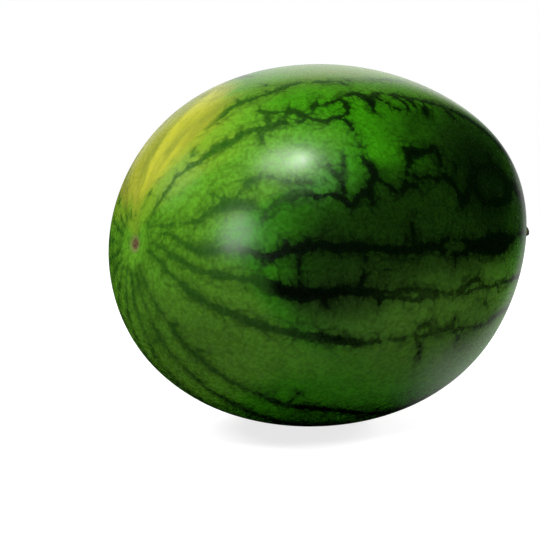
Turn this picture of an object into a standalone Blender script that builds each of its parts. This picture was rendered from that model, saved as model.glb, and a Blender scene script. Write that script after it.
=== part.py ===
# A whole oval watermelon lying on its side, with the cut stub of its stem.
# Metres, +Z up. +X points to the stem end, -X to the blossom end.
# The origin is the middle of the small flat spot that the fruit rests on.

import math

import bmesh
import bpy
from mathutils import Matrix, Vector

# Driving dimensions of the fruit
HALF_LENGTH = 0.1422
HALF_WIDTH = 0.117
CENTRE = Vector((0.0, 0.0, 0.116))   # a little under the half width, which leaves the flat spot
AXIS_DROP = math.radians(7.2)        # the growth axis leans down to the stem end, before stretching

# Blunt shoulders that fill out the oval: azimuth and elevation in degrees, height in metres
SHOULDERS = (
    (-30.0, 27.5, 0.0055),
    (132.0, 51.0, 0.0026),
    (-47.0, -49.0, 0.0027),
    (154.0, -44.0, 0.0023),
)
SHOULDER_REACH = 0.5                 # radians round each shoulder's middle

# Dimples at the two ends: depth in metres, reach in radians
STEM_DIMPLE = (0.0030, 0.15)
BLOSSOM_DIMPLE = (0.0018, 0.09)

# The mesh of the fruit
SEGMENTS = 72
RINGS = 48
RING_CROWDING = 0.5                  # 0 spreads the rings evenly, more packs them to the ends

# The stem stub and the plain hole that it stands in
GAP = 0.0003
STUB_ROOT_RADIUS = 0.0052
STUB_TIP_RADIUS = 0.0034
STUB_REACH = Vector((0.0345, -0.006, 0.0083))     # from its root to the middle of its cut end
STUB_END_HEADING = Vector((0.93, -0.22, 0.28))
STUB_STRAIGHT = 0.002                # how far it comes straight out of the hole
SOCKET_DEPTH = 0.006
SOCKET_SIDES = 32

# Colours and finish
RIND_COLOUR = (0.055, 0.19, 0.03, 1.0)
RIND_ROUGHNESS = 0.32
STEM_COLOUR = (0.13, 0.17, 0.05, 1.0)
STEM_ROUGHNESS = 0.75


def clear_scene():
    for item in list(bpy.data.objects):
        bpy.data.objects.remove(item, do_unlink=True)


def new_collection(name):
    group = bpy.data.collections.new(name)
    bpy.context.scene.collection.children.link(group)
    return group


def make_material(name, colour, roughness):
    material = bpy.data.materials.new(name)
    material.use_nodes = True
    material.diffuse_color = colour
    shader = material.node_tree.nodes["Principled BSDF"]
    shader.inputs["Base Color"].default_value = colour
    shader.inputs["Roughness"].default_value = roughness
    shader.inputs["Metallic"].default_value = 0.0
    return material


def heading(azimuth, elevation):
    level = math.cos(math.radians(elevation))
    return Vector((
        level * math.cos(math.radians(azimuth)),
        level * math.sin(math.radians(azimuth)),
        math.sin(math.radians(elevation)),
    ))


STEM_POLE = Vector((math.cos(AXIS_DROP), 0.0, -math.sin(AXIS_DROP)))
BLOSSOM_POLE = -STEM_POLE
SHOULDER_HEADINGS = [(heading(a, e), height) for a, e, height in SHOULDERS]


def bell(direction, middle, reach):
    return math.exp(-(direction.angle(middle) / reach) ** 2)


def skin_point(direction):
    # A stretched ball, swollen at the shoulders and pressed in at the two ends
    swell = 1.0
    for middle, height in SHOULDER_HEADINGS:
        swell += height / HALF_WIDTH * bell(direction, middle, SHOULDER_REACH)
    depth = STEM_DIMPLE[0] * bell(direction, STEM_POLE, STEM_DIMPLE[1])
    depth += BLOSSOM_DIMPLE[0] * bell(direction, BLOSSOM_POLE, BLOSSOM_DIMPLE[1])
    stretched = Vector((
        direction.x * HALF_LENGTH,
        direction.y * HALF_WIDTH,
        direction.z * HALF_WIDTH,
    ))
    return CENTRE + stretched * swell - direction * depth


def crowd_to_poles(point):
    # The same ball with its rings closer together at both poles, where the dimples are
    polar = math.acos(max(-1.0, min(1.0, point.z)))
    crowded = polar - RING_CROWDING * math.sin(2.0 * polar) / 2.0
    around = math.atan2(point.y, point.x)
    return Vector((
        math.sin(crowded) * math.cos(around),
        math.sin(crowded) * math.sin(around),
        math.cos(crowded),
    ))


def make_fruit(group, material):
    # A ball whose poles lie on the growth axis, with every vertex moved onto the skin
    mesh = bpy.data.meshes.new("fruit")
    bm = bmesh.new()
    bmesh.ops.create_uvsphere(bm, u_segments=SEGMENTS, v_segments=RINGS, radius=1.0)
    lay_down = STEM_POLE.to_track_quat("Z", "Y")
    for vert in bm.verts:
        vert.co = skin_point(lay_down @ crowd_to_poles(vert.co))
    bmesh.ops.recalc_face_normals(bm, faces=bm.faces)
    bm.to_mesh(mesh)
    bm.free()
    mesh.shade_smooth()
    mesh.materials.append(material)
    fruit = bpy.data.objects.new("fruit", mesh)
    group.objects.link(fruit)
    return fruit


def make_cutter(name, group, bm):
    mesh = bpy.data.meshes.new(name)
    bm.to_mesh(mesh)
    bm.free()
    cutter = bpy.data.objects.new(name, mesh)
    cutter.hide_render = True
    cutter.display_type = "WIRE"
    group.objects.link(cutter)
    return cutter


def cut(target, cutter):
    modifier = target.modifiers.new(cutter.name, "BOOLEAN")
    modifier.operation = "DIFFERENCE"
    modifier.object = cutter


def make_floor_cutter(group):
    # A block whose top face is the floor: it leaves the flat spot under the fruit
    side = 2.0 * HALF_WIDTH
    bm = bmesh.new()
    bmesh.ops.create_cube(bm, size=side, matrix=Matrix.Translation((0.0, 0.0, -side / 2.0)))
    return make_cutter("floor_cutter", group, bm)


def stem_root():
    # The bottom of the stem dimple, and the way that the skin faces there
    facing = Vector((STEM_POLE.x / HALF_LENGTH, 0.0, STEM_POLE.z / HALF_WIDTH)).normalized()
    return skin_point(STEM_POLE), facing


def make_socket_cutter(group):
    # A cylinder from the hole's bottom to well above the dimple
    root, facing = stem_root()
    length = 2.0 * SOCKET_DEPTH
    place = Matrix.Translation(root) @ facing.to_track_quat("Z", "Y").to_matrix().to_4x4()
    bm = bmesh.new()
    bmesh.ops.create_cone(
        bm,
        cap_ends=True,
        segments=SOCKET_SIDES,
        radius1=STUB_ROOT_RADIUS + GAP,
        radius2=STUB_ROOT_RADIUS + GAP,
        depth=length,
        matrix=place,
    )
    return make_cutter("socket_cutter", group, bm)


def place_knot(point, co, left, right, radius):
    point.handle_left_type = "FREE"
    point.handle_right_type = "FREE"
    point.co = co
    point.handle_left = left
    point.handle_right = right
    point.radius = radius


def make_stem_stub(group, material):
    # A tapered tube: straight in its hole, then bent up and to one side
    root, facing = stem_root()
    foot = root - facing * (SOCKET_DEPTH - GAP)
    mouth = root + facing * STUB_STRAIGHT
    tip = root + STUB_REACH
    third = (tip - mouth).length / 3.0
    curve = bpy.data.curves.new("stem_path", "CURVE")
    curve.dimensions = "3D"
    curve.resolution_u = 8
    curve.bevel_depth = STUB_ROOT_RADIUS
    curve.bevel_resolution = 4
    curve.use_fill_caps = True
    spline = curve.splines.new("BEZIER")
    spline.bezier_points.add(2)
    knots = spline.bezier_points
    place_knot(knots[0], foot, foot - facing * GAP, foot.lerp(mouth, 0.3), 1.0)
    place_knot(knots[1], mouth, foot.lerp(mouth, 0.7), mouth + facing * third, 1.0)
    turn = STUB_END_HEADING.normalized() * third
    place_knot(knots[2], tip, tip - turn, tip + turn, STUB_TIP_RADIUS / STUB_ROOT_RADIUS)
    path = bpy.data.objects.new("stem_path", curve)
    group.objects.link(path)

    # The tube as a mesh, with its end caps joined on
    depsgraph = bpy.context.evaluated_depsgraph_get()
    mesh = bpy.data.meshes.new_from_object(path.evaluated_get(depsgraph))
    mesh.name = "stem_stub"
    bpy.data.objects.remove(path, do_unlink=True)
    bm = bmesh.new()
    bm.from_mesh(mesh)
    bmesh.ops.remove_doubles(bm, verts=bm.verts, dist=0.00001)
    bmesh.ops.recalc_face_normals(bm, faces=bm.faces)
    bm.to_mesh(mesh)
    bm.free()
    mesh.shade_smooth()
    mesh.set_sharp_from_angle(angle=math.radians(50.0))
    mesh.materials.clear()
    mesh.materials.append(material)
    stub = bpy.data.objects.new("stem_stub", mesh)
    group.objects.link(stub)
    return stub


def main():
    clear_scene()
    watermelon = new_collection("watermelon")
    cutters = new_collection("cutters")
    rind = make_material("rind", RIND_COLOUR, RIND_ROUGHNESS)
    stem = make_material("stem", STEM_COLOUR, STEM_ROUGHNESS)
    fruit = make_fruit(watermelon, rind)
    cut(fruit, make_floor_cutter(cutters))
    cut(fruit, make_socket_cutter(cutters))
    make_stem_stub(watermelon, stem)


main()
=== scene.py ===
# A whole watermelon on a pale floor, seen a little from above and from its blossom end.
import math
import bpy
import numpy as np
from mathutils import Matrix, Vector


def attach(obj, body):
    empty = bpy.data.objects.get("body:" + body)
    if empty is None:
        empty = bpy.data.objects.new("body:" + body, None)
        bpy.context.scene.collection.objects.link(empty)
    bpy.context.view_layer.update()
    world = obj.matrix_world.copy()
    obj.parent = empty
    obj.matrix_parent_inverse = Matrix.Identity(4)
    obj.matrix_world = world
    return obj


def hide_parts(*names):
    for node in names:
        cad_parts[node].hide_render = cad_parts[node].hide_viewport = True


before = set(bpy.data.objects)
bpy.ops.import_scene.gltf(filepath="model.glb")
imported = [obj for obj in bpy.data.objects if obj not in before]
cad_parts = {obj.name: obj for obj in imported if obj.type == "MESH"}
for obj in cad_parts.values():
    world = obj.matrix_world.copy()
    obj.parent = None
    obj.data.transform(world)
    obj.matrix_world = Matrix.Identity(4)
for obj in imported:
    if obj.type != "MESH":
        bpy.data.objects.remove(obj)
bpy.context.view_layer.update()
scene = bpy.context.scene

# The fruit's form, the same as the solid's: metres and radians
form = {
    "halfLength": 0.1422,
    "halfWidth": 0.117,
    "centre": (0.0, 0.0, 0.116),
    "axisDrop": math.radians(7.2),        # the growth axis leans down to the stem end
    "shoulders": (                        # azimuth, elevation in degrees, height in metres
        (-30.0, 27.5, 0.0055),
        (132.0, 51.0, 0.0026),
        (-47.0, -49.0, 0.0027),
        (154.0, -44.0, 0.0023),
    ),
    "shoulderReach": 0.5,                 # radians
    "stemDimple": (0.0030, 0.15),         # depth in metres, reach in radians
    "blossomDimple": (0.0018, 0.09),
    "footSoft": 0.0004,                   # rounds the edge of the flat spot
}

millimetre = 0.001
fruitCentre = np.array(form["centre"])
fruitSize = np.array([form["halfLength"], form["halfWidth"], form["halfWidth"]])
straightUp = np.array([0.0, 0.0, 1.0])
white = (1.0, 1.0, 1.0, 1.0)


# Shader writing: a wire is one output socket, and arithmetic on it adds Math nodes
class Wire:
    def __init__(self, paint, socket):
        self.paint = paint
        self.socket = socket

    def math(self, operation, *values):
        return self.paint.node("ShaderNodeMath", {"operation": operation}, dict(enumerate(values)))

    def __add__(self, other):
        return self.math("ADD", self, other)

    def __radd__(self, other):
        return self.math("ADD", other, self)

    def __sub__(self, other):
        return self.math("SUBTRACT", self, other)

    def __rsub__(self, other):
        return self.math("SUBTRACT", other, self)

    def __mul__(self, other):
        return self.math("MULTIPLY", self, other)

    def __truediv__(self, other):
        return self.math("DIVIDE", self, other)


class Paint:
    def __init__(self, tree):
        self.tree = tree

    # Sets a node's input sockets to values, or links wires to them
    def feed(self, node, sockets):
        for key, value in sockets.items():
            if isinstance(value, Wire):
                self.tree.links.new(value.socket, node.inputs[key])
            else:
                node.inputs[key].default_value = value

    # Any node: its type, its settings, then the values or wires of its sockets
    def node(self, kind, settings=None, sockets=None, out=0):
        made = self.tree.nodes.new(kind)
        for name, value in (settings or {}).items():
            setattr(made, name, value)
        self.feed(made, sockets or {})
        if not made.outputs:
            return made
        return Wire(self, made.outputs[out])

    # 0 below low, 1 above high, an S curve between; low may be the larger one
    def rise(self, value, low, high):
        return self.node(
            "ShaderNodeMapRange",
            {"interpolation_type": "SMOOTHSTEP"},
            {"Value": value, "From Min": low, "From Max": high},
        )

    def most(self, a, b):
        return self.node("ShaderNodeMath", {"operation": "MAXIMUM"}, {0: a, 1: b})

    def blend(self, share, first, second, way="MIX"):
        return self.node(
            "ShaderNodeMix",
            {"data_type": "RGBA", "blend_type": way, "clamp_factor": True},
            {0: share, 6: first, 7: second},
            out=2,
        )

    def noise(self, place, scale, detail=2.0, roughness=0.5, out=0):
        return self.node(
            "ShaderNodeTexNoise", None,
            {"Vector": place, "Scale": scale, "Detail": detail, "Roughness": roughness},
            out=out,
        )

    # How far each place is from the second nearest cell's middle less how far from the
    # nearest one's: 0 on the seams between the cells
    def seam(self, place, scale):
        sockets = {"Vector": place, "Scale": scale}
        second = self.node("ShaderNodeTexVoronoi", {"feature": "F2"}, sockets)
        return second - self.node("ShaderNodeTexVoronoi", {"feature": "F1"}, sockets)

    def vector(self, operation, sockets, out=0):
        return self.node("ShaderNodeVectorMath", {"operation": operation}, sockets, out=out)

    def dot(self, value, direction):
        return self.vector("DOT_PRODUCT", {0: value, 1: tuple(direction)}, out=1)

    # An attribute of the mesh: output 2 is a number and output 1 a vector
    def attribute(self, name, out=2):
        return self.node("ShaderNodeAttribute", {"attribute_name": name}, out=out)

    # The place moved about by noise: place + (noise - 0.5) * reach
    def shaken(self, place, scale, reach):
        offset = self.vector("SUBTRACT", {0: self.noise(place, scale, out=1), 1: (0.5, 0.5, 0.5)})
        return self.vector("ADD", {0: place, 1: self.vector("SCALE", {0: offset, "Scale": reach})})

    def bump(self, height, strength, distance):
        return self.node(
            "ShaderNodeBump", None,
            {"Strength": strength, "Distance": distance, "Height": height},
        )

    def emission(self, strength):
        return self.node("ShaderNodeEmission", None, {"Color": white, "Strength": strength})

    def background(self, colour, strength):
        return self.node("ShaderNodeBackground", None, {"Color": colour, "Strength": strength})

    # One kind of light ray: output 0 comes from the camera and output 3 from a gloss
    def rays(self, out):
        return self.node("ShaderNodeLightPath", out=out)

    # The first shader where the share is 0, the second where it is 1
    def mix(self, share, first, second):
        return self.node("ShaderNodeMixShader", None, {0: share, 1: first, 2: second})


def newMaterial(name):
    material = bpy.data.materials.new(name)
    material.use_nodes = True
    tree = material.node_tree
    return material, Paint(tree), tree.nodes["Principled BSDF"]


# Unit headings from azimuth and elevation in degrees
def headingOf(azimuth, elevation):
    a = math.radians(azimuth)
    e = math.radians(elevation)
    return np.array([math.cos(e) * math.cos(a), math.cos(e) * math.sin(a), math.sin(e)])


# The growth axis: along points to the stem end, over is up and side points to the camera's side
axisAlong = np.array([math.cos(form["axisDrop"]), 0.0, -math.sin(form["axisDrop"])])
axisOver = np.array([math.sin(form["axisDrop"]), 0.0, math.cos(form["axisDrop"])])
axisSide = np.array([0.0, -1.0, 0.0])


# A heading on the unit ball: polar is 0 at the blossom end and 180 at the stem end,
# round is 0 on top and grows towards the camera's side, both in degrees
def ballHeading(polar, around):
    p = np.radians(polar)[..., None]
    r = np.radians(around)[..., None]
    ring = np.cos(r) * axisOver + np.sin(r) * axisSide
    return -np.cos(p) * axisAlong + np.sin(p) * ring


# A bell round one heading: exp(-(angle / reach)^2)
def bell(heading, middle, reach):
    angle = np.arccos(np.clip(heading @ middle, -1.0, 1.0))
    return np.exp(-(angle / reach) ** 2)


# The skin: the ball stretched to the half length and half width, times one plus each
# shoulder's bell, less the dimples' bells along the heading, and kept above the floor
def skinPoints(heading):
    swell = np.ones(heading.shape[:-1])
    for azimuth, elevation, height in form["shoulders"]:
        share = bell(heading, headingOf(azimuth, elevation), form["shoulderReach"])
        swell = swell + height / form["halfWidth"] * share
    depth = form["stemDimple"][0] * bell(heading, axisAlong, form["stemDimple"][1])
    depth = depth + form["blossomDimple"][0] * bell(heading, -axisAlong, form["blossomDimple"][1])
    points = fruitCentre + heading * fruitSize * swell[..., None] - heading * depth[..., None]
    level = points[..., 2]
    points[..., 2] = 0.5 * (level + np.sqrt(level ** 2 + form["footSoft"] ** 2))
    return points


# A mesh from a grid of points: rows run along the piece and columns round it, and the
# first and last rows are closed by fans to one point each
def closedGrid(name, grid, firstPoint, lastPoint):
    rows, columns = grid.shape[:2]
    index = np.arange(rows * columns).reshape(rows, columns)
    after = np.roll(index, -1, axis=1)
    quads = np.stack([index[:-1], after[:-1], after[1:], index[1:]], axis=-1).reshape(-1, 4)
    first = rows * columns
    last = first + 1
    start = np.stack([np.full(columns, first), after[0], index[0]], axis=-1)
    end = np.stack([np.full(columns, last), index[-1], after[-1]], axis=-1)
    points = np.concatenate([grid.reshape(-1, 3), [firstPoint], [lastPoint]])
    mesh = bpy.data.meshes.new(name)
    mesh.from_pydata(points, [], quads.tolist() + start.tolist() + end.tolist())
    mesh.shade_smooth()
    piece = bpy.data.objects.new(name, mesh)
    scene.collection.objects.link(piece)
    return piece


def addNumbers(piece, name, values):
    layer = piece.data.attributes.new(name, "FLOAT", "POINT")
    layer.data.foreach_set("value", np.ascontiguousarray(values, dtype=np.float32))


def addVectors(piece, name, values):
    layer = piece.data.attributes.new(name, "FLOAT_VECTOR", "POINT")
    layer.data.foreach_set("vector", np.ascontiguousarray(values, dtype=np.float32).ravel())


# The dark bands: each route is a list of polar angle, angle round the fruit, half width in mm
bandRoutes = {
    "crown": [
        (38, 9.6, 1.1), (42, 11.5, 2.3), (46, 11.5, 2.7), (50, 10.6, 2.1), (55, 12.6, 2.2),
        (60, 14, 2.0), (66, 14, 1.8), (71, 15.5, 1.5), (75, 17.2, 1.4), (79.5, 18.3, 1.0),
        (86, 18.6, 0.7), (94, 17.6, 0.7), (104, 17, 0.9), (116, 17, 1.3), (130, 18, 1.5),
        (145, 19, 1.5), (160, 19, 1.2), (172, 18, 1.0),
    ],
    "crownTail": [(9, 2, 0.2), (14, 6, 0.3), (20, 8.7, 0.4), (29, 9.3, 0.5), (38, 9.6, 0.9)],
    "crownSpurA": [(43, 12, 1.4), (43.2, 15, 1.1)],
    "crownSpurB": [(52.5, 10.6, 1.2), (53, 6.5, 0.8)],
    "crownSpurC": [(59.5, 13, 1.4), (61.5, 8.8, 1.0), (62.6, 7, 0.7)],
    "crownDrop": [(34.5, 17, 0.8), (31.8, 19.5, 1.1), (32.2, 22, 0.9)],
    "second": [
        (9, 38, 0.5), (10.5, 34, 0.7), (12, 31.5, 0.9), (15, 29.5, 1.2), (18, 28, 1.5),
        (20.5, 26, 1.7), (24, 24.3, 1.8), (26.5, 25.2, 2.2), (30, 27.2, 2.4), (33, 28.6, 2.0),
        (36, 27.6, 3.2), (39.5, 28.2, 4.2), (43, 29.6, 3.2), (46, 28.8, 2.6), (49, 29.6, 3.0),
        (52, 32, 2.2), (56, 32, 2.6), (58, 33.2, 1.6), (61, 34.6, 1.4), (63, 34, 1.8),
    ],
    "secondSpurA": [(50, 32, 1.8), (49.8, 36, 1.1), (49, 38, 0.8)],
    "secondSpurB": [(53.5, 31, 1.6), (54.2, 27, 1.6), (55, 24, 1.8), (54, 21.5, 1.3)],
    "secondSpurC": [(55, 24, 1.2), (58, 26.5, 1.3), (60.5, 29, 1.8)],
    "knot": [
        (58, 30, 1.0), (60, 28.6, 1.6), (61.8, 29.5, 2.6), (62.6, 32, 2.8), (64, 34.5, 2.2),
        (66.5, 37, 2.4), (69, 36.8, 1.6), (72.3, 36.6, 2.2), (73.8, 35.6, 2.4), (75, 33, 2.3),
        (75.2, 30, 2.1), (74.8, 28, 1.6),
    ],
    "knotSpur": [(60.4, 28.5, 1.3), (60.5, 25.6, 0.9)],
    "knotRight": [(64, 33, 1.6), (66.3, 31.5, 1.8), (66.5, 29.5, 1.5), (68, 27.5, 1.6), (69.8, 25, 1.0)],
    "knotTop": [(66.5, 29.3, 1.1), (70, 29.2, 1.5), (73, 29.4, 1.3), (76, 27.6, 1.5), (79.8, 26.4, 1.6)],
    "knotRise": [(79.8, 26.4, 1.4), (79.6, 22, 1.2), (79.5, 18.3, 1.2)],
    "knotFall": [(72.6, 36.6, 2.0), (72.8, 40, 1.5), (73.4, 44, 1.3), (73.3, 49, 0.9)],
    "drip": [(79.8, 26.6, 1.6), (81.6, 29, 4.0), (82.4, 31.6, 3.4), (82.2, 34, 1.8), (81.6, 36.2, 1.0)],
    "ridge": [
        (81, 28.2, 2.0), (84, 29.3, 2.0), (86, 27.8, 2.0), (88.5, 27.4, 1.7), (91, 28.4, 1.8),
        (94.5, 29.6, 1.9), (99, 30.2, 1.6), (104, 30.8, 1.8), (109, 31.8, 2.0), (114, 33.5, 2.6),
        (119, 36, 2.8), (124, 40, 2.6), (130, 43, 2.4), (138, 45, 2.2), (148, 46, 1.8),
        (160, 46, 1.6), (170, 46, 1.0),
    ],
    "ridgeDropA": [(84.5, 29.5, 1.3), (87, 33, 1.1), (89.8, 36, 1.8), (92, 35, 1.2)],
    "ridgeDropB": [(90.5, 28.5, 1.4), (92.6, 33, 1.4), (91.3, 37.5, 1.0)],
    "ridgeDropC": [(94.8, 30, 1.8), (95.2, 34, 1.8), (94.5, 36.5, 0.9)],
    "ridgeDropD": [(99.6, 31, 1.3), (99, 33.4, 1.7), (97.6, 36.5, 2.8), (96.8, 38.8, 1.2)],
    "ridgeDropE": [(106, 31, 2.0), (107, 35, 1.8), (108.5, 38, 1.2)],
    "belt": [
        (9, 47, 0.4), (10.5, 52, 0.5), (13, 56, 0.8), (16, 60.5, 1.2), (19, 62, 1.4),
        (22.5, 65.5, 1.3), (26, 65.8, 1.8), (29, 63, 2.0), (32, 61.5, 2.8), (36, 61.8, 4.2),
        (39, 62.6, 4.8), (42, 64.6, 3.2), (44.5, 67, 1.6), (46.8, 66.8, 1.4), (49.5, 64.6, 2.2),
        (53, 63.4, 3.2), (56.5, 63.2, 2.4), (59.5, 65, 2.2), (63, 65.2, 1.9), (65.5, 66.5, 2.2),
        (67.7, 69, 2.2), (69.6, 67, 1.8), (71.3, 65.2, 2.4), (73, 66.3, 2.4), (73.7, 69.3, 1.0),
    ],
    "beltSpur": [(45.4, 67.4, 1.6), (45.4, 70.4, 0.9)],
    "beltArc": [
        (32.2, 52.6, 0.9), (33.2, 55.5, 1.5), (35, 58.4, 1.8), (37.5, 59, 1.7), (39.5, 57.5, 1.8),
        (41, 54.8, 1.9), (43.5, 53.2, 1.8), (46.5, 53.4, 1.2), (49, 54.4, 1.3), (51.3, 57, 1.2),
        (54.5, 58.4, 1.5), (58, 59.8, 1.3), (61, 60.8, 1.0),
    ],
    "beltLink": [(39.6, 57.5, 1.3), (39.9, 60, 1.4), (40.5, 62, 1.6)],
    "beltLeft": [(31.5, 53, 0.9), (31.8, 57, 1.3), (30.6, 60.5, 1.8)],
    "beltRiseA": [(63.4, 52, 0.8), (63.8, 56, 1.3), (65.2, 59, 1.6), (66.2, 62, 1.3), (66, 65.5, 1.4)],
    "beltRiseB": [(68.6, 52.5, 0.9), (67.3, 56, 1.2), (66.4, 58.6, 1.3), (65.4, 59.4, 1.4)],
    "fist": [
        (72.4, 52.6, 1.4), (73.2, 54.6, 3.0), (74.4, 57, 3.0), (75, 59.6, 2.8), (73.8, 62.4, 1.8),
        (72.8, 65, 2.0),
    ],
    "bowl": [
        (75, 60, 2.0), (76.4, 61.8, 1.7), (78.2, 63.4, 2.4), (80.4, 65.4, 2.4), (83, 64, 2.1),
        (84.2, 61.4, 1.7), (84.6, 58.6, 2.2), (85.6, 56, 2.4), (86.4, 53.6, 3.2),
    ],
    "blot": [
        (84.8, 50.6, 1.2), (86.8, 51.8, 2.8), (88.4, 53, 4.6), (90.4, 52.6, 2.4), (93.4, 52, 2.0),
        (94.8, 50.6, 1.6), (95.8, 53, 1.8), (95.6, 57, 1.3),
    ],
    "chain": [
        (85.4, 57.6, 1.6), (86.2, 60.6, 1.2), (88.4, 61.6, 1.6), (91, 60.6, 1.4), (93.4, 62, 1.6),
        (96, 60.6, 2.0), (97.8, 61.6, 2.6), (99.2, 60.4, 1.8), (100.4, 58, 1.4), (101, 55.5, 1.0),
    ],
    "chainLow": [(83.8, 63.4, 1.6), (87, 63.6, 1.4), (90, 62.4, 1.3)],
    "gate": [
        (98.2, 61.6, 2.6), (99.4, 64.5, 2.4), (100.6, 67, 3.4), (102.2, 67.6, 2.8), (103.6, 65, 2.2),
        (104.8, 62, 2.6), (106, 59.4, 1.8), (107.5, 56.5, 1.4), (107, 53, 0.9),
    ],
    "gateSpur": [(101, 68, 2.2), (100.8, 71, 1.2)],
    "eye": [
        (106.4, 60, 2.2), (110, 56.2, 2.0), (114, 55, 3.0), (118, 54.5, 3.6), (122, 57, 4.4),
        (123, 62, 5.0), (120, 66, 4.0), (115.5, 67, 3.2), (112, 68.4, 2.6), (109, 67, 2.4),
        (106.4, 63.6, 2.6), (106.4, 60, 2.2),
    ],
    "eyeSpur": [(116, 55, 2.4), (115.6, 51, 1.6), (116.6, 48, 1.0)],
    "eyeTail": [
        (122, 58, 4.0), (127, 59, 4.0), (132, 60, 3.4), (140, 61, 2.8), (152, 61, 2.2),
        (170, 61, 1.0),
    ],
    "girdle": [
        (9, 62, 0.4), (12, 66, 0.6), (16, 72, 1.0), (19, 77, 1.5), (22, 82, 2.0), (25, 86, 2.8),
        (28, 87, 3.4), (31, 85.6, 2.4), (35, 85.2, 2.4), (38, 84.6, 2.2), (41, 85, 2.6),
        (44.5, 87, 3.4), (47.5, 86.6, 2.8), (50.5, 84.4, 2.6), (53, 84, 2.8), (56.5, 82.6, 2.8),
        (60, 82.4, 3.2), (65, 82.6, 3.6), (70, 82.8, 3.6), (75, 82.9, 3.0), (80, 83.4, 2.8),
        (85, 83.2, 2.8), (89, 82.2, 3.4), (93, 82, 3.0),
    ],
    "girdleUpper": [(93, 81, 2.2), (97, 80.2, 1.6), (101, 80.6, 1.7), (105, 81.4, 2.8)],
    "girdleLower": [(93, 83.4, 1.9), (97, 84.4, 1.5), (101, 84.4, 1.6), (105, 83, 2.8)],
    "girdleTail": [
        (105, 82.2, 3.4), (109, 82, 5.4), (113, 81.6, 7.2), (117, 81, 8.0), (120, 80.6, 7.0),
        (122.5, 80, 4.6), (125, 79, 2.4), (129, 77.5, 1.6), (136, 76, 1.5), (145, 76, 1.6),
        (156, 76, 1.5), (172, 76, 1.0),
    ],
    "girdleSpurA": [(50.6, 83, 1.6), (50.4, 80.6, 0.9)],
    "girdleSpurB": [(56.6, 82, 1.5), (55.8, 80.2, 0.9)],
    "girdleSpurC": [(84.6, 82, 1.6), (84.4, 78.5, 1.4), (84.2, 75, 1.2), (85, 72.6, 0.8)],
    "girdleSpurD": [(82.6, 81, 1.3), (81.8, 78.6, 0.9)],
    "girdleSpurE": [(44.8, 88, 2.0), (45.2, 90.4, 0.9)],
    "veinA": [(54.2, 84.6, 2.0), (54.2, 87, 1.2), (54.6, 92, 1.1), (55.6, 98, 1.3)],
    "veinB": [(71.4, 85, 0.8), (71.3, 89.5, 1.1), (71.4, 95, 1.6)],
    "veinC": [(77.6, 91, 0.9), (78.4, 95, 1.2)],
    "veinD": [(98.4, 84.6, 1.2), (98.4, 87.6, 0.9)],
    "waist": [
        (9, 80, 1.0), (18, 94, 1.8), (26, 99, 2.4), (34, 99, 2.6), (40, 98, 2.6), (44, 97.4, 3.4),
        (48, 99, 4.6), (52, 100, 5.2), (56, 100, 5.0), (60, 99, 4.0), (64, 97.8, 3.2),
        (68, 97, 3.0), (72, 96.8, 3.0), (76, 96.6, 2.4), (80, 96.2, 1.7), (84, 95.6, 1.3),
        (88, 95.4, 1.3), (92, 95.8, 1.4), (95, 96.4, 1.6), (100, 96.4, 1.7), (103.5, 94.8, 1.5),
        (107, 93, 1.4), (109.5, 93.4, 1.4), (112, 95.2, 1.4),
    ],
    "waistLower": [
        (76, 97.6, 1.8), (80, 98, 1.4), (84, 98.4, 1.3), (87, 98.6, 1.4), (90, 97.8, 1.4),
        (93, 98, 1.3), (96, 97.6, 1.4), (100, 97, 1.6), (105, 97, 1.4), (109, 96, 1.3),
        (113, 96, 1.2), (117, 96.2, 1.0), (122, 95.6, 1.0), (130, 95.6, 1.4), (140, 96, 1.6),
        (152, 96, 1.6), (172, 96, 1.0),
    ],
    "waistSpurA": [(86.3, 98.6, 1.6), (86.6, 101, 1.0)],
    "waistSpurB": [(77, 98, 1.8), (77.4, 101, 1.4)],
    "waistSpurC": [(62, 100, 2.6), (64, 103, 1.0)],
    "waistSpurD": [(110, 99.6, 0.9), (113, 101, 1.2), (115.5, 102.4, 0.8)],
    "apron": [
        (9, 98, 0.9), (20, 112, 1.8), (32, 116, 2.6), (46, 116, 3.0), (60, 114.5, 3.2),
        (70, 114, 3.0), (77, 114, 2.4), (80.5, 112.4, 1.7), (84, 111.4, 1.4), (87.5, 111.6, 1.4),
        (90, 110, 1.6), (91, 107.6, 1.4), (93, 106.2, 1.4), (95, 107.6, 1.4), (95.6, 110, 1.4),
        (99, 109, 1.4), (102.6, 108.4, 1.7), (104.6, 110, 1.4), (108, 109.6, 1.3), (113, 110.4, 1.2),
        (118, 110.6, 0.9), (124, 109.6, 0.9), (132, 110, 1.0), (145, 111, 1.3), (158, 111, 1.4),
        (172, 111, 1.0),
    ],
    "apronSpurA": [(102.8, 108, 1.4), (102.6, 104.4, 0.9)],
    "apronSpurB": [(90.5, 110.6, 1.8), (93, 113.5, 1.4), (94.6, 117, 1.1), (96, 119.5, 0.8)],
    "apronSpurC": [(105, 110.6, 1.3), (107.5, 114, 1.1), (110.6, 117, 0.9)],
    "apronJoin": [(90, 110, 1.8), (93, 110.6, 1.6), (95.6, 110, 1.6)],
}

# Light islands inside the bands: polar angle, angle round the fruit, radius in mm
bandIslands = [
    (59.2, 31.6, 3.2), (70.6, 32.8, 4.8), (112.6, 61, 5.4), (92.9, 108.6, 1.6), (93, 60, 1.8),
    (99.3, 57.6, 1.8),
]

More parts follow.
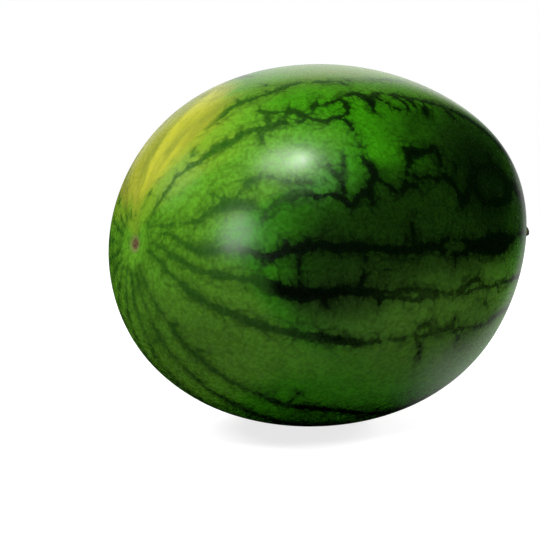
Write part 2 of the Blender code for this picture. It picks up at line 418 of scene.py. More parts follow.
# The bands on the far side and the underside, grown by rule: angles in degrees, widths in mm
farBands = {
    "seed": 7,
    "places": (149, 164, 180, 197, 213, 230, 247, 265),   # middle angle round the fruit
    "spotPlaces": (-76, -59, -43, -28, -13),   # under the yellow spot, where they show faintly
    "halfWidth": 3.0,
    "spotHalfWidth": 1.6,
    "leastHalfWidth": 0.8,
    "wander": 2.6,                        # to either side
    "firstPolar": 9.0,
    "lastPolar": 172.0,
    "span": 162.0,                        # of polar angle, over which the band swells and thins
    "step": 4.0,                          # of polar angle between route points
    "branches": 11,                       # to each band
    "branchReach": (3.0, 9.0),            # round the fruit
}


# A smooth path through a route's points: Catmull-Rom, with a few steps to each span
def smoothRoute(route, steps=3):
    knots = np.array(route, dtype=float)
    padded = np.concatenate([2 * knots[:1] - knots[1:2], knots, 2 * knots[-1:] - knots[-2:-1]])
    t = np.arange(steps) / steps
    t = t[:, None, None]
    a = padded[:-3][None]
    b = padded[1:-2][None]
    c = padded[2:-1][None]
    d = padded[3:][None]
    path = 2 * b + (c - a) * t + (2 * a - 5 * b + 4 * c - d) * t ** 2
    path = 0.5 * (path + (3 * b - a - 3 * c + d) * t ** 3)
    path = np.swapaxes(path, 0, 1).reshape(-1, 3)
    return np.concatenate([path, knots[-1:]])


# Wavy bands of uneven width with side branches, from a seeded draw
def growFarRoutes():
    rng = np.random.default_rng(farBands["seed"])
    routes = []
    places = [(p, farBands["halfWidth"]) for p in farBands["places"]]
    places += [(p, farBands["spotHalfWidth"]) for p in farBands["spotPlaces"]]
    for middle, halfWidth in places:
        polar = np.arange(farBands["firstPolar"], farBands["lastPolar"], farBands["step"])
        share = (polar - farBands["firstPolar"]) / farBands["span"]
        sway = rng.normal(0.0, 1.0, polar.size)
        sway = np.convolve(np.pad(sway, 2, mode="edge"), (0.2, 0.3, 0.3, 0.2, 0.0), mode="valid")
        around = middle + farBands["wander"] * sway * np.sin(np.pi * share) ** 0.5
        width = halfWidth * (0.35 + 0.65 * np.sin(np.pi * share)) * rng.uniform(0.55, 1.3, polar.size)
        width = np.maximum(width, farBands["leastHalfWidth"])
        routes.append(np.stack([polar, around, width], axis=1))
        inner = np.arange(3, polar.size - 3)
        for i in rng.choice(inner, size=farBands["branches"], replace=False):
            side = rng.choice((-1.0, 1.0))
            reach = rng.uniform(*farBands["branchReach"])
            lean = rng.normal(0.0, 1.0)
            routes.append(np.array([
                (polar[i], around[i], max(width[i] * 0.8, 1.2)),
                (polar[i] + 0.5 * lean, around[i] + side * reach * 0.5, rng.uniform(1.0, 2.0)),
                (polar[i] + lean, around[i] + side * reach, rng.uniform(0.8, 1.2)),
            ]))
    return routes


inkReach = {
    "farthest": 30.0,                     # mm, the distance given to places far from every band
    "window": 9.0,                        # degrees of polar angle worked out beside each piece
}


# How far each point of the skin lies outside the nearest band's edge, in mm: the smallest,
# over all pieces of all routes, of the distance to the piece less its half width there.
# Only the rows near a piece are worked out, because points further off stay in the light
def inkDistance(points, routes, islands):
    nearest = np.full(points.shape[:2], inkReach["farthest"])
    perDegree = (points.shape[0] - 1) / 180.0
    for route in routes:
        path = smoothRoute(route)
        places = skinPoints(ballHeading(path[:, 0], path[:, 1])) / millimetre
        low = np.minimum(path[:-1, 0], path[1:, 0]) - inkReach["window"]
        high = np.maximum(path[:-1, 0], path[1:, 0]) + inkReach["window"]
        firstRows = np.maximum(low * perDegree, 0.0).astype(int)
        lastRows = np.ceil(high * perDegree).astype(int) + 1
        for k in range(len(path) - 1):
            rows = slice(firstRows[k], lastRows[k])
            span = places[k + 1] - places[k]
            offset = points[rows] - places[k]
            t = np.clip(offset @ (span / (span @ span)), 0.0, 1.0)
            gap = np.linalg.norm(offset - t[..., None] * span, axis=-1)
            edge = path[k, 2] + (path[k + 1, 2] - path[k, 2]) * t
            nearest[rows] = np.minimum(nearest[rows], gap - edge)
    for polar, around, radius in islands:
        middle = skinPoints(ballHeading(np.array(polar), np.array(around))) / millimetre
        gap = np.linalg.norm(points - middle, axis=-1)
        nearest = np.maximum(nearest, radius - gap)
    return nearest


rindMesh = {
    "rows": 246,                          # from pole to pole
    "columns": 400,                       # round the fruit
    "lumpHeight": 0.35,                   # mm, the slow unevenness of the skin
    "lumpSeed": 3,
    "lumpWaves": 9,
    "lumpPitch": (7.0, 15.0),             # waves' radians across one radius
    "foot": (0.004, 0.02),                # metres: no lumps below the first, all a second higher
    "scarRing": (1.6, 0.8, 0.45),         # polar angle, reach in degrees, depth in mm
    "streakLength": 150.0,                # degrees of polar angle to one unit of the streaks
}


# Slow lumps: a sum of a few sines of the heading, each with its own direction and phase
def lumps(heading):
    rng = np.random.default_rng(rindMesh["lumpSeed"])
    total = np.zeros(heading.shape[:-1])
    for k in range(rindMesh["lumpWaves"]):
        way = rng.normal(0.0, 1.0, 3)
        way = way / np.linalg.norm(way)
        wave = np.sin(heading @ way * rng.uniform(*rindMesh["lumpPitch"]) + rng.uniform(0.0, 6.28))
        total = total + wave / rindMesh["lumpWaves"]
    return total


# A grid of values over the skin as one list in the mesh's order: the rows between the
# poles, then one value for each pole
def inMeshOrder(values):
    inner = values[1:-1].reshape(-1, *values.shape[2:])
    return np.concatenate([inner, values[:1, 0], values[-1:, 0]])


def makeRind():
    polar = np.linspace(0.0, 180.0, rindMesh["rows"])
    around = np.arange(rindMesh["columns"]) * 360.0 / rindMesh["columns"]
    polarGrid, aroundGrid = np.meshgrid(polar, around, indexing="ij")
    heading = ballHeading(polarGrid, aroundGrid)
    smooth = skinPoints(heading)
    lump = (lumps(heading) - 1.0) * rindMesh["lumpHeight"] * millimetre
    footHeight, footFade = rindMesh["foot"]
    lump = lump * np.clip((smooth[..., 2] - footHeight) / footFade, 0.0, 1.0)
    ringPolar, ringReach, ringDepth = rindMesh["scarRing"]
    lump = lump - ringDepth * millimetre * np.exp(-((polarGrid - ringPolar) / ringReach) ** 2)
    points = smooth + heading * lump[..., None]
    piece = closedGrid("rind", points[1:-1], points[0, 0], points[-1, 0])
    routes = [np.array(r, dtype=float) for r in bandRoutes.values()] + growFarRoutes()
    looks = {
        "ink": inkDistance(smooth / millimetre, routes, bandIslands),
        "polar": polarGrid,
        "spot": groundSpot(polarGrid, aroundGrid),
        # depthAndShading holds the rind's own deeper green together with painted light and shade, olive
        # holds painted bounce light and darkestShade painted shade
        "depthAndShading": groundDepth(polarGrid, aroundGrid),
        "pale": patchShare(polarGrid, aroundGrid, paleRib),
        "olive": patchShare(polarGrid, aroundGrid, bounceLitSide),
        "darkestShade": patchShare(polarGrid, aroundGrid, darkestShade),
        "contrast": 1.0 - patchShare(polarGrid, aroundGrid, faintBands),
    }
    for name, values in looks.items():
        addNumbers(piece, name, inMeshOrder(values))
    r = np.radians(aroundGrid)
    streak = np.stack([np.cos(r), np.sin(r), polarGrid / rindMesh["streakLength"]], axis=-1)
    addVectors(piece, "streak", inMeshOrder(streak))
    return piece


groundPatch = {
    "polar": 40.5, "around": -32.0,       # its middle
    "polarReach": 28.5, "aroundReach": 43.5,
    "lean": 0.55,                         # degrees round the fruit for each degree of polar angle
}


# The yellow ground spot: 1.6 less the distance from its middle, which is 1 at its reach, in an
# oval that leans
def groundSpot(polar, around):
    offset = (around - groundPatch["around"] + 180.0) % 360.0 - 180.0
    offset = offset + (polar - groundPatch["polar"]) * groundPatch["lean"]
    along = (polar - groundPatch["polar"]) / groundPatch["polarReach"]
    across = offset / groundPatch["aroundReach"]
    reach = np.sqrt(along ** 2 + across ** 2)
    return np.clip(1.6 - reach, -0.5, 1.6)


# Patches of the skin: middle polar angle and angle round the fruit, the reach along and round
# the fruit, all in degrees, and strength
# Painted shade: patches that deepen the ground's green where the rind lies in shade, most on the camera's
# side and some on the underside
shadePatches = [
    (82, 88, 38, 25, 0.78), (112, 58, 29, 28, 0.66), (50, 78, 18, 14, 0.36), (84, 152, 26, 20, 0.35),
    (78, 66, 17, 12, 0.40), (64, 100, 16, 10, 0.34), (96, -118, 28, 20, 0.40), (70, -160, 24, 18, 0.30),
    (74, 20, 20, 14, 0.16), (72, 108, 17, 10, 0.42), (58, 67, 9, 8, 0.20), (86, 40, 9, 9, 0.24),
]
# Painted light: patches where the ground's green is drawn back to a lighter one, standing in for light
# thrown up from the floor onto the lower camera side and near the stem end
paintedLightPatches = [(108, 114, 40, 24, 0.56), (158, 100, 16, 75, 0.55)]
paleRib = (102, 7, 50, 19, 0.80)
# Painted bounce light: a lighter green on the lower camera side of the stem half, where the floor would
# throw light up
bounceLitSide = (106, 108, 44, 24, 0.85)
# Painted shade: a patch high on the camera side of the stem half, drawn almost to the bands' black
darkestShade = (113, 58, 13, 19, 0.80)
faintBands = (98, 106, 26, 16, 0.30)
# Painted shade in part: the green deepens towards the stem end, partly the rind's own colour and partly
# shade on the end away from the key light
depthSteps = ((0.42, 40.0, 92.0), (0.26, 84.0, 124.0))   # share lost, from and to polar angle
# The level of the painted light patches at full strength
paintedLightLevel = 0.85                         # how light a light patch of full strength is


# A patch's share at each place: strength * exp(-spread^2), flat in its middle
def patchShare(polar, around, patch):
    middlePolar, middleAround, polarReach, aroundReach, strength = patch
    offset = (around - middleAround + 180.0) % 360.0 - 180.0
    spread = ((polar - middlePolar) / polarReach) ** 2 + (offset / aroundReach) ** 2
    return strength * np.exp(-spread ** 2)


# How deep the ground's green is, partly the rind's own colour and partly painted light and shade: rising
# from the blossom end to the stem end, deeper in each painted shade patch, where what is left of the light
# ground is thinned, and drawn back in the painted light patches
def groundDepth(polar, around):
    left = 1.0
    for share, low, high in depthSteps:
        left = left - share * smoothStep(polar, low, high)
    for patch in shadePatches:
        left = left * (1.0 - patchShare(polar, around, patch))
    for patch in paintedLightPatches:
        left = left + (paintedLightLevel - left) * patchShare(polar, around, patch)
    return 1.0 - left


# 0 below low and 1 above high, with an S curve between
def smoothStep(value, low, high):
    t = np.clip((value - low) / (high - low), 0.0, 1.0)
    return t * t * (3.0 - 2.0 * t)


# Colours of the rind, linear. The lit and deep grounds and bands and the near-black ground are partly the
# rind's own greens and partly lit and shaded copies of them, which paint light and shade
rindColours = {
    "litGround": (0.114, 0.345, 0.016, 1.0),
    "deepGround": (0.038, 0.270, 0.0015, 1.0),
    "darkAndShadedGround": (0.008, 0.036, 0.002, 1.0),
    "litBand": (0.026, 0.120, 0.008, 1.0),
    "deepBand": (0.0008, 0.006, 0.0004, 1.0),
    "paleGround": (0.175, 0.270, 0.034, 1.0),
    "bounceLitGround": (0.084, 0.215, 0.018, 1.0),
    "lime": (0.270, 0.460, 0.024, 1.0),
    "yellow": (0.66, 0.66, 0.040, 1.0),
    "olive": (0.28, 0.33, 0.030, 1.0),
    "cork": (0.250, 0.170, 0.080, 1.0),
    "scar": (0.080, 0.048, 0.020, 1.0),
    "paleRing": (0.240, 0.300, 0.080, 1.0),
}

rindLook = {
    "wideCells": 62.0, "fineCells": 165.0,   # to a metre
    "ragged": 3.6,                        # mm, how much noise tears a band's edge
    "wideLobe": 1.3, "fineLobe": 0.9,     # mm, how far the lobes push into a band
    "lobeShift": 0.9,                     # mm, by which all bands grow to make up for it
    "wideVein": 0.62, "fineVein": 0.5,    # strength of the dark seams near the bands
    "fineSeams": 0.11, "wideSeams": 0.14,   # and of the faint ones everywhere
    "grain": 0.46, "blotch": 0.22,        # strength of the fine and the wide mottling
    "halo": 0.26,                         # how much darker the ground is near a band
    "hair": 0.54, "spotHair": 0.32,       # strength of the hair lines, and of those in the spot
    "bump": 0.085, "bumpHeight": 0.0006,  # strength, and height in metres
    "roughness": 0.23, "grainRoughness": 0.09,
    "coat": 0.25, "coatRoughness": 0.20,
}


def paintRind():
    look = rindLook
    material, paint, shader = newMaterial("rindSkin")
    place = paint.node("ShaderNodeTexCoord", out=3)
    ink = paint.attribute("ink")
    polar = paint.attribute("polar")
    spot = paint.attribute("spot")
    streakPlace = paint.attribute("streak", out=1)

    # Rounded cells, about 16 mm and 6 mm wide: the ground bulges into the bands as lobes, and
    # thin dark seams run out from the bands between the lobes
    wideSeam = paint.seam(paint.shaken(place, 70.0, 0.009), look["wideCells"])
    fineSeam = paint.seam(paint.shaken(place, 200.0, 0.004), look["fineCells"])
    ragged = (paint.noise(place, 250.0, 4.0, 0.62) - 0.5) * look["ragged"]
    wideLobes = paint.rise(wideSeam, 0.02, 0.42) * look["wideLobe"]
    lobes = wideLobes + paint.rise(fineSeam, 0.02, 0.5) * look["fineLobe"]
    edge = ink + ragged + lobes - look["lobeShift"]
    band = paint.rise(edge, 0.65, -0.65)
    core = paint.rise(edge, 1.0, -3.5)
    wideVein = paint.rise(wideSeam, 0.13, 0.0) * paint.rise(ink + ragged * 2.0, 9.0, 0.5)
    fineVein = paint.rise(fineSeam, 0.24, 0.0) * paint.rise(ink + ragged, 4.0, 0.0)
    vein = paint.most(wideVein * look["wideVein"], fineVein * look["fineVein"])
    halo = paint.rise(ink + ragged * 1.5, 7.0, -0.5)

    # The ground: light at the blossom end, deep further on, partly the rind's own green and partly painted
    # light and shade, mottled at about 2 mm and 8 mm
    depthAndShading = paint.attribute("depthAndShading") + (paint.noise(place, 30.0) - 0.5) * 0.22
    ground = paint.blend(paint.rise(depthAndShading, -0.02, 0.34), rindColours["litGround"], rindColours["deepGround"])
    ground = paint.blend(paint.rise(depthAndShading, 0.36, 0.84), ground, rindColours["darkAndShadedGround"])
    fineMottle = paint.rise(paint.noise(place, 400.0), 0.26, 0.74)
    wideMottle = paint.rise(paint.noise(place, 130.0), 0.3, 0.7)
    fineSeams = paint.rise(fineSeam, 0.16, 0.0) * look["fineSeams"]
    seams = fineSeams + paint.rise(wideSeam, 0.10, 0.0) * look["wideSeams"]
    grain = look["grain"] - paint.attribute("pale") * 0.34
    mottle = 0.97 - grain * 0.5 + fineMottle * grain + wideMottle * look["blotch"]
    mottle = mottle * (1.0 - halo * look["halo"]) * (1.0 - seams)
    mottleColour = paint.node("ShaderNodeCombineColor", None, {0: mottle, 1: mottle, 2: mottle})
    # Painted bounce light: the lower camera side is lighter green where the ground is not deep
    bounceLitShare = paint.attribute("olive") * paint.rise(depthAndShading, 1.0, 0.5)
    ground = paint.blend(bounceLitShare, ground, rindColours["bounceLitGround"])
    ground = paint.blend(1.0, ground, mottleColour, "MULTIPLY")
    # Painted shade: the darkest patch takes the bands' near-black colour
    ground = paint.blend(paint.attribute("darkestShade"), ground, rindColours["deepBand"])

    # The yellow ground spot with soft olive streaks along the fruit, duller over the top where painted
    # shade turns it olive, and a lime rim at the blossom end; then the pale rib
    streak = paint.rise(paint.noise(streakPlace, 4.2, 3.0, 0.6), 0.36, 0.66)
    spotEdge = spot + (streak - 0.5) * 0.20 + (paint.noise(place, 60.0) - 0.5) * 0.12
    yellow = paint.blend(streak, rindColours["yellow"], rindColours["olive"])
    yellow = paint.blend(fineMottle * 0.22, yellow, rindColours["olive"])
    # Painted shade: the spot is dulled to olive further round over the top
    overTopShade = paint.rise(paint.dot(streakPlace, (0.0, 1.0, 0.0)), -0.20, -0.42)
    yellow = paint.blend(overTopShade * 0.4, yellow, rindColours["olive"])
    spotShare = paint.rise(spotEdge, 0.40, 0.76)
    limeShare = paint.rise(spotEdge, -0.10, 0.40) * paint.rise(polar, 58.0, 36.0) * 0.66
    ground = paint.blend(limeShare, ground, rindColours["lime"])
    ground = paint.blend(spotShare * 0.95, ground, yellow)
    ground = paint.blend(paint.attribute("pale") * (0.5 + streak * 0.5), ground, rindColours["paleGround"])

    # Dark hair lines that run together at the two ends
    nearPole = paint.rise(polar, 38.0, 12.0)
    nearPole = paint.most(nearPole, paint.rise(polar, 146.0, 170.0))
    hair = paint.rise(paint.noise(streakPlace, 21.0, 2.0, 0.55), 0.58, 0.69) * nearPole * look["hair"]
    spotHair = paint.rise(paint.noise(streakPlace, 24.0), 0.56, 0.66) * spotShare * look["spotHair"]

    # The bands: lighter and flecked with ground at the blossom end, near black further on, partly the
    # bands' own colour and partly painted light and shade
    bandDepth = paint.most(paint.rise(polar, 34.0, 80.0), paint.rise(depthAndShading, 0.22, 0.55))
    bandDepth = bandDepth * (1.0 - paint.attribute("pale"))
    bandColour = paint.blend(bandDepth, rindColours["litBand"], rindColours["deepBand"])
    fleck = fineMottle * (1.0 - bandDepth) * (1.0 - core * 0.6)
    bandColour = paint.blend(fleck * 0.34, bandColour, ground)
    dark = paint.most(band * (0.84 + core * 0.16), vein)
    dark = paint.most(dark, hair)
    dark = dark * (1.0 - spotShare * 0.80) * paint.attribute("contrast")
    dark = paint.most(dark, spotHair)
    colour = paint.blend(dark, ground, bandColour)

    # The blossom scar: a spotted corky disc, and a pale ring where the skin is drawn in
    scarPlace = polar + (paint.noise(place, 420.0, 3.0, 0.6) - 0.5) * 0.9
    corkSpots = paint.rise(paint.noise(place, 900.0, 3.0, 0.7), 0.35, 0.65)
    cork = paint.blend(corkSpots, rindColours["cork"], rindColours["scar"])
    colour = paint.blend(paint.rise(scarPlace, 3.6, 2.1) * 0.7, colour, rindColours["paleRing"])
    colour = paint.blend(paint.rise(scarPlace, 1.9, 1.5), colour, cork)

    # Waxy skin: fine pebbling breaks up the gloss
    pebble = paint.noise(place, 760.0)
    dimples = paint.noise(place, 260.0)
    height = pebble * 0.30 + dimples * 0.25 + fineMottle * 0.22
    paint.feed(shader, {
        "Base Color": colour,
        "Roughness": look["roughness"] + fineMottle * look["grainRoughness"],
        "Normal": paint.bump(height, look["bump"], look["bumpHeight"]),
        "IOR": 1.45,
        "Specular IOR Level": 0.5,
        "Coat Weight": look["coat"],
        "Coat Roughness": look["coatRoughness"],
    })
    return material


rind = makeRind()
rind.data.materials.append(paintRind())
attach(rind, "root")
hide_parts("fruit")
print("rind made:", len(rind.data.polygons), "faces")

stem = {
    "rootRadius": 0.0052,
    "tipRadius": 0.0034,
    "reach": np.array([0.0335, -0.0058, 0.0081]),     # from the root to the tip
    "endHeading": np.array([0.93, -0.22, 0.28]),
    "straight": 0.002,                    # it leaves the skin square on for this far
    "sunk": 0.0035,                       # how deep it goes into the fruit
    "ribs": 5,
    "ribHeight": 0.09,                    # of the radius
    "flare": 0.55,                        # how much wider it grows at the skin
    "flareReach": 0.07,                   # of its length
    "twist": 0.7,                         # radians, from root to tip
    "wrinkles": ((0.025, 17, 6.0), (0.02, 29, -9.0)),   # height, number round it, slant
    "knobHeight": 0.03,
    "columns": 120,
    "rows": 90,
    "crowding": 1.15,                     # above 1 the rows stand closer at the root
}


# The stem's path: a straight start square to the skin, then a cubic Bezier curve to the tip
def stemPath(share):
    root = skinPoints(axisAlong[None])[0]
    facing = axisAlong / fruitSize
    facing = facing / np.linalg.norm(facing)
    mouth = root + facing * stem["straight"]
    tip = root + stem["reach"]
    heading = stem["endHeading"] / np.linalg.norm(stem["endHeading"])
    third = np.linalg.norm(tip - mouth) / 3.0
    a, b, c, d = mouth, mouth + facing * third, tip - heading * third, tip
    lead = (stem["sunk"] + stem["straight"]) / (stem["sunk"] + stem["straight"] + third * 3.0)
    t = np.clip((share - lead) / (1.0 - lead), 0.0, 1.0)[:, None]
    curve = a * (1 - t) ** 3 + 3 * b * t * (1 - t) ** 2 + 3 * c * t ** 2 * (1 - t) + d * t ** 3
    s = np.clip(share / lead, 0.0, 1.0)[:, None]
    start = root - facing * stem["sunk"]
    straight = start + (mouth - start) * s
    path = np.where(share[:, None] < lead, straight, curve)
    return path, share - lead * stem["sunk"] / (stem["sunk"] + stem["straight"])


# The stem: rings round its path, each ribbed and slightly wrinkled, wider at the skin, with a
# dished cut end. Radius = taper * (1 + flare near the skin) * (0.97 + ribs + wrinkles + knobs)
def makeStem():
    body = np.linspace(0.0, 1.0, stem["rows"]) ** stem["crowding"]
    path, fromSkin = stemPath(body)
    along = np.gradient(path, axis=0)
    along = along / np.linalg.norm(along, axis=1)[:, None]
    side = np.array([0.0, 1.0, 0.0]) - along * along[:, 1:2]
    side = side / np.linalg.norm(side, axis=1)[:, None]
    over = np.cross(along, side)
    taper = stem["rootRadius"] + (stem["tipRadius"] - stem["rootRadius"]) * body
    flare = np.exp(-(np.maximum(fromSkin, 0.0) / stem["flareReach"]) ** 1.5)
    taper = taper * (1.0 + stem["flare"] * flare)
    v = np.arange(stem["columns"]) * 2.0 * np.pi / stem["columns"]
    down = body[:, None]
    twist = v[None] + stem["twist"] * down
    ribs = np.cos(stem["ribs"] * twist) + 0.30 * np.cos(2 * stem["ribs"] * twist + 1.0)
    wrinkles = sum(h * np.sin(count * twist + slant * down) for h, count, slant in stem["wrinkles"])
    knobs = stem["knobHeight"] * np.sin(21.0 * down + 2.0 * np.cos(v)[None]) * np.cos(2 * v + 1.0)[None]
    relief = 0.97 + stem["ribHeight"] * ribs * (1.0 - 0.5 * down) + wrinkles + knobs
    radius = taper[:, None] * relief
    ring = np.cos(v)[None, :, None] * side[:, None] + np.sin(v)[None, :, None] * over[:, None]
    grid = path[:, None] + ring * radius[..., None]
    # The cut end: a rounded edge, then a shallow dish with a raised middle
    inward = np.array([0.97, 0.90, 0.78, 0.62, 0.45, 0.28, 0.12])
    drop = np.array([0.20, 0.26, 0.10, -0.20, -0.32, -0.26, -0.12]) * millimetre
    cap = path[-1] + ring[-1][None] * radius[-1][None, :, None] * inward[:, None, None]
    cap = cap + along[-1] * drop[:, None, None]
    grid = np.concatenate([grid, cap])
    middle = path[-1] + along[-1] * (-0.05 * millimetre)
    piece = closedGrid("stemStub", grid, path[0], middle)
    reach = np.concatenate([body, 1.0 + 0.02 * (1.0 - inward)])
    cut = np.concatenate([np.zeros(stem["rows"]), smoothStep(1.0 - inward, 0.0, 0.12)])
    columns = np.ones(stem["columns"])
    addNumbers(piece, "along", np.concatenate([np.outer(reach, columns).ravel(), [0.0, 1.0]]))
    addNumbers(piece, "cut", np.concatenate([np.outer(cut, columns).ravel(), [0.0, 1.0]]))
    fibre = np.zeros(grid.shape)
    fibre[..., 0] = np.cos(v)
    fibre[..., 1] = np.sin(v)
    fibre[..., 2] = reach[:, None] * 0.8
    addVectors(piece, "fibre", np.concatenate([fibre.reshape(-1, 3), [(0, 0, 0), (0, 0, 1)]]))
    crest = np.concatenate([ribs, np.zeros((len(inward), stem["columns"]))])
    addNumbers(piece, "crest", np.concatenate([crest.ravel(), [0.0, 0.0]]))
    return piece


stemColours = {
    "green": (0.060, 0.110, 0.020, 1.0),
    "dry": (0.100, 0.095, 0.032, 1.0),
    "dark": (0.020, 0.024, 0.008, 1.0),
    "cork": (0.220, 0.190, 0.080, 1.0),
    "pith": (0.420, 0.340, 0.180, 1.0),
}


def paintStem():
    material, paint, shader = newMaterial("dryStem")
    place = paint.node("ShaderNodeTexCoord", out=3)
    along = paint.attribute("along")
    crest = paint.attribute("crest")
    cut = paint.attribute("cut")
    fibre = paint.attribute("fibre", out=1)
    fine = paint.noise(fibre, 9.0, 4.0, 0.65)
    blotch = paint.noise(place, 260.0, 3.0, 0.55)
    dryness = paint.rise(along + (blotch - 0.5) * 0.7, 0.05, 0.75)
    colour = paint.blend(dryness, stemColours["green"], stemColours["dry"])
    # Painted shade: the stem is darker in the furrows between its ribs
    furrowShade = paint.rise(crest + (fine - 0.5) * 1.2, 0.1, -0.9)
    colour = paint.blend(furrowShade * 0.55, colour, stemColours["dark"])
    strand = paint.rise(fine, 0.52, 0.70)
    colour = paint.blend(strand * 0.45, colour, stemColours["cork"])
    collar = paint.rise(along + (blotch - 0.5) * 0.06, 0.21, 0.13)
    colour = paint.blend(collar * 0.6, colour, stemColours["cork"])
    pithSpots = paint.rise(paint.noise(place, 1500.0), 0.45, 0.62)
    end = paint.blend(pithSpots * 0.5, stemColours["pith"], stemColours["dry"])
    colour = paint.blend(cut, colour, end)
    height = fine + paint.noise(place, 1100.0, 3.0, 0.6) * 0.5
    paint.feed(shader, {
        "Base Color": colour,
        "Roughness": 0.62 + fine * 0.25,
        "Normal": paint.bump(height, 0.7, 0.0007),
        "Specular IOR Level": 0.35,
    })
    return material


stemStub = makeStem()
stemStub.data.materials.append(paintStem())
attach(stemStub, "root")
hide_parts("stem_stub")
print("stem made:", len(stemStub.data.polygons), "faces")

# Camera: on the side of the blossom end, a little above, at a long lens
view = {
    "azimuth": -35.6,                     # 0 looks along +Y, with +X to the right
    "elevation": 10.0,
    "distance": 14.0 * form["halfWidth"],
    "lens": 167.8,                        # mm, as is the sensor
    "sensor": 36.0,
    "centreX": 317.9, "centreY": 244.6,   # where the fruit's middle lands in the 540 x 540 image
    "imageSide": 540.0,
}
viewTurn = math.radians(view["azimuth"])
viewRise = math.radians(view["elevation"])
viewBack = np.array([
    math.sin(viewTurn) * math.cos(viewRise),
    -math.cos(viewTurn) * math.cos(viewRise),
    math.sin(viewRise),
])
viewRight = np.array([math.cos(viewTurn), math.sin(viewTurn), 0.0])
viewUp = np.cross(viewBack, viewRight)


def aimAt(thing, target):
    toTarget = Vector(target) - thing.location
    thing.rotation_euler = toTarget.to_track_quat("-Z", "Y").to_euler()


def makeCamera():
    data = bpy.data.cameras.new("camera")
    data.sensor_width = view["sensor"]
    data.lens = view["lens"]
    data.clip_end = 100.0
    camera = bpy.data.objects.new("camera", data)
    scene.collection.objects.link(camera)
    camera.location = Vector(fruitCentre + viewBack * view["distance"])
    perPixel = view["distance"] * view["sensor"] / view["lens"] / view["imageSide"]
    across = (view["centreX"] - view["imageSide"] / 2.0) * perPixel
    down = (view["centreY"] - view["imageSide"] / 2.0) * perPixel
    aimAt(camera, fruitCentre - viewRight * across + viewUp * down)
    scene.camera = camera


# A direction from the fruit: degrees to the camera's right and degrees above level
def roundView(toRight, above):
    level = viewBack * np.array([1.0, 1.0, 0.0])
    level = level / np.linalg.norm(level)
    r = math.radians(toRight)
    e = math.radians(above)
    return math.cos(e) * (math.cos(r) * level + math.sin(r) * viewRight) + math.sin(e) * straightUp


lamps = {
    # to the right, above, distance, width, height, watts, seen in the gloss, lights the skin
    "key": (-92.0, 38.0, 1.7, 0.7, 0.7, 21.5, False, True),
    "backLeft": (-140.0, 22.0, 1.7, 0.7, 0.7, 4.0, False, True),
    "back": (136.0, 18.0, 1.7, 0.9, 0.7, 11.0, False, True),
    "right": (140.0, 5.0, 1.5, 0.5, 0.4, 42.0, False, True),
    "top": (17.0, 54.0, 1.2, 0.50, 0.40, 8.6, False, True),
    "glow": (-4.0, 66.0, 1.2, 0.48, 0.36, 2.8, True, False),
    "core": (12.0, 65.0, 1.2, 0.13, 0.12, 1.5, True, False),
    "low": (-25.0, 19.4, 1.5, 0.48, 0.66, 4.4, True, False),
}


def makeLamps():
    for name, (toRight, above, distance, width, height, power, inGloss, onSkin) in lamps.items():
        data = bpy.data.lights.new(name, "AREA")
        data.shape = "ELLIPSE"
        data.size = width
        data.size_y = height
        data.energy = power
        lamp = bpy.data.objects.new(name, data)
        scene.collection.objects.link(lamp)
        lamp.location = Vector(fruitCentre + roundView(toRight, above) * distance)
        aimAt(lamp, fruitCentre)
        lamp.visible_glossy = inGloss
        lamp.visible_diffuse = onSkin
        lamp.visible_camera = False


studio = {
    "dim": 0.04,                          # the room's soft light on the skin
    "wall": 1.0,                          # the bright wall behind the fruit, seen in the gloss
    "wallFarLeft": 0.55,                  # how much of that is left at its left side
    "wallFade": (-0.06, 0.16),            # where it fades to that: sideways over ahead
    "wallToRight": 185.0,                 # degrees round; 180 is straight behind the fruit
    "wallHalfWidth": (14.0, 23.0),        # degrees to either side: full, none
    "wallTop": (32.0, 40.0),              # degrees above level: full, none
}


# A dim studio with a bright wall behind the fruit that only the gloss sees, and plain white
# to the camera
def makeWorld():
    world = bpy.data.worlds.new("studio")
    world.use_nodes = True
    scene.world = world
    tree = world.node_tree
    tree.nodes.clear()
    paint = Paint(tree)
    way = paint.node("ShaderNodeTexCoord", out=0)
    ahead = paint.most(paint.dot(way, roundView(studio["wallToRight"], 0.0)), 0.01)
    leftward = paint.dot(way, roundView(studio["wallToRight"] + 90.0, 0.0)) / ahead
    upward = paint.dot(way, straightUp) / ahead
    full, none = (math.tan(math.radians(a)) for a in studio["wallHalfWidth"])
    wall = paint.rise(leftward.math("ABSOLUTE", leftward), none, full)
    full, none = (math.tan(math.radians(a)) for a in studio["wallTop"])
    wall = wall * paint.rise(upward, none, full)
    wall = wall * (1.0 - paint.rise(leftward, *studio["wallFade"]) * (1.0 - studio["wallFarLeft"]))
    inGloss = paint.background(paint.blend(wall, (0.0, 0.0, 0.0, 1.0), white), studio["wall"])
    onSkin = paint.background((1.0, 1.0, 0.98, 1.0), studio["dim"])
    unseen = paint.mix(paint.rays(3), onSkin, inGloss)
    both = paint.mix(paint.rays(0), unseen, paint.background(white, 1.0))
    paint.node("ShaderNodeOutputWorld", None, {"Surface": both})


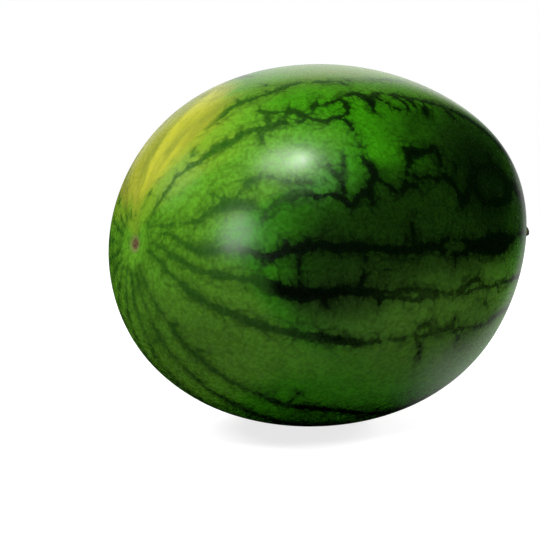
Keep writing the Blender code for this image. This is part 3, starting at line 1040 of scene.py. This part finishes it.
floorLook = {
    "side": 60.0,                         # metres, as are the places below
    "dull": (0.38, 0.38, 0.37, 1.0),      # as the skin is lit by it
    "bright": (0.46, 0.46, 0.46, 1.0),    # as the camera sees it, with the lift added
    "lift": 0.78,
    "plain": (0.3, 0.9),                  # from its middle: shaded up to here, plain white from there
    "sweep": 0.43,                        # brightness of the sweep in the gloss
    "sweepLight": 0.6,                    # and as a light on the skin
    "sweepInner": (0.05, 0.125),          # its edge to the left: none, full
    "sweepOuter": (0.20, 0.13),           # its edge to the right: none, full
    "sweepSlant": 0.52,                   # how far that moves out with each metre further back
    "sweepFront": (-0.08, -0.02),         # its edge to the front: none, full
    "sweepNear": 0.86,                    # its share of light in the front part
    "sweepBack": (0.10, 0.30),            # where it brightens towards the back
}


# A wide floor. The camera sees it shaded near the fruit and plain white further off. It throws
# a dull light on the skin and is black in the gloss, but for a bright sweep that runs back
# from the fruit's right
def makeFloor():
    look = floorLook
    bpy.ops.mesh.primitive_plane_add(size=look["side"], location=(0.0, 0.0, 0.0))
    floor = bpy.context.object
    floor.name = "floor"
    material = bpy.data.materials.new("paleFloor")
    material.use_nodes = True
    tree = material.node_tree
    tree.nodes.clear()
    paint = Paint(tree)
    place = paint.node("ShaderNodeTexCoord", out=3)
    ahead = paint.dot(place, roundView(180.0, 0.0))
    sideways = paint.dot(place, roundView(90.0, 0.0))
    sweep = paint.rise(sideways, *look["sweepInner"])
    sweep = sweep * paint.rise(sideways - ahead * look["sweepSlant"], *look["sweepOuter"])
    sweep = sweep * paint.rise(ahead, *look["sweepFront"])
    further = paint.rise(ahead, *look["sweepBack"]) * (1.0 - look["sweepNear"])
    sweep = sweep * (look["sweepNear"] + further)
    dull = paint.node("ShaderNodeBsdfDiffuse", None, {"Color": look["dull"]})
    onSkin = paint.mix(sweep, dull, paint.emission(look["sweepLight"]))
    inGloss = paint.mix(sweep, paint.emission(0.0), paint.emission(look["sweep"]))
    unseen = paint.mix(paint.rays(3), onSkin, inGloss)
    bright = paint.node("ShaderNodeBsdfDiffuse", None, {"Color": look["bright"]})
    lifted = paint.node("ShaderNodeAddShader", None, {0: bright, 1: paint.emission(look["lift"])})
    far = paint.rise(paint.vector("LENGTH", {0: place}, out=1), *look["plain"])
    shown = paint.mix(far, lifted, paint.emission(1.0))
    both = paint.mix(paint.rays(0), unseen, shown)
    paint.node("ShaderNodeOutputMaterial", None, {"Surface": both})
    floor.data.materials.append(material)


makeCamera()
makeLamps()
makeWorld()
makeFloor()
scene.view_settings.view_transform = "Standard"
print("studio set up")
